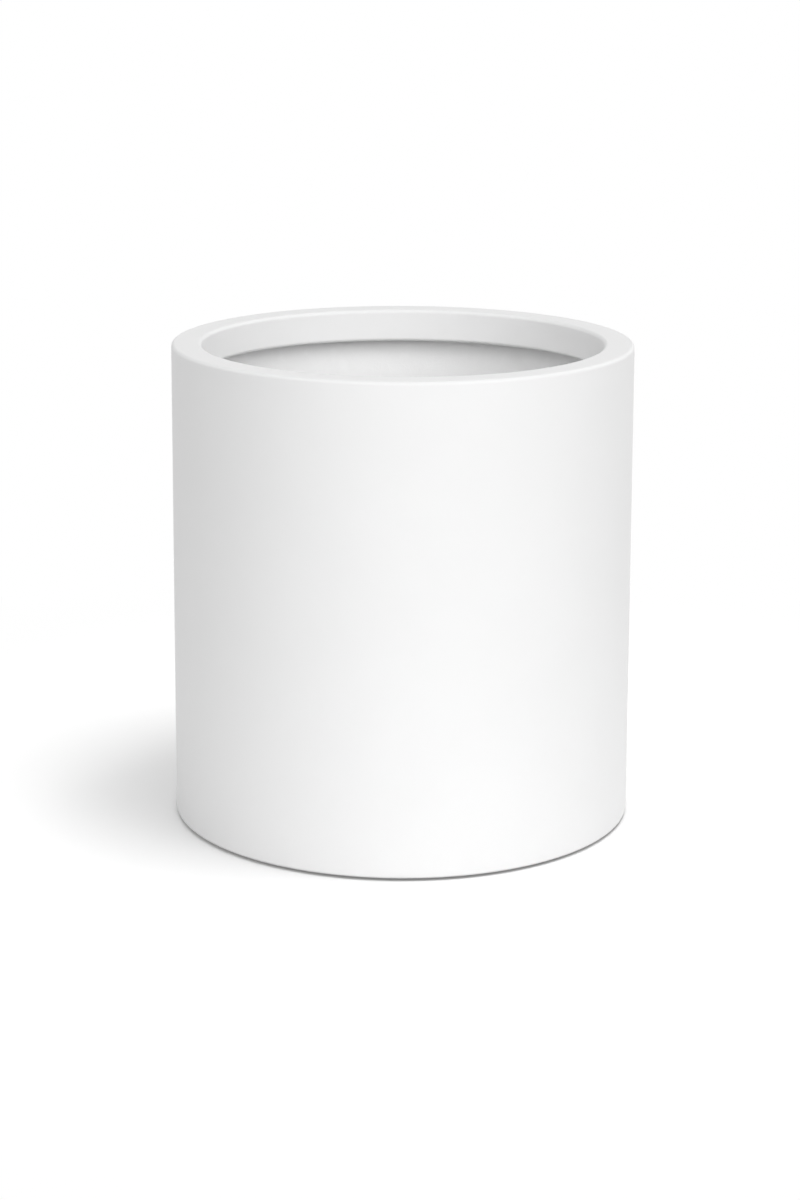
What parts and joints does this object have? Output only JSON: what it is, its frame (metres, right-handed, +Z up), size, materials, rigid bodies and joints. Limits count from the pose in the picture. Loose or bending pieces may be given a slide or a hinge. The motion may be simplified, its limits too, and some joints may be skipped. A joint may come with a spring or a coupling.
{
  "type": "floor planter",
  "caption": "Round, straight-sided floor planter: moulded laminate shell with a flat rim and an inward return lip, a bonded floor, rubber foot pads and a pull-out drain plug.",
  "frame": {"origin": "centre of the footprint, on the ground under the foot pads", "axes": "+Z up along the planter's own axis, out of the mouth; X and Y pass midway between the foot pads, and the plug's grip bar runs along X"},
  "size_m": [0.4599, 0.46, 0.48],
  "materials": {
    "white_gelcoat": "satin",
    "white_flowcoat": "matte",
    "black_rubber": "matte"
  },
  "bodies": {
    "planter": {"shell": "white_gelcoat", "base_panel": "white_flowcoat", "base_bond": "white_flowcoat", "foot_pad_1": "black_rubber", "foot_pad_2": "black_rubber", "foot_pad_3": "black_rubber", "foot_pad_4": "black_rubber"},
    "plug": {"drain_plug": "black_rubber"}
  },
  "joints": [
    {"name": "plug_pull", "type": "slide", "parent": "planter", "child": "plug", "axis": [0, 0, 1], "range_m": [0, 0.5]}
  ]
}
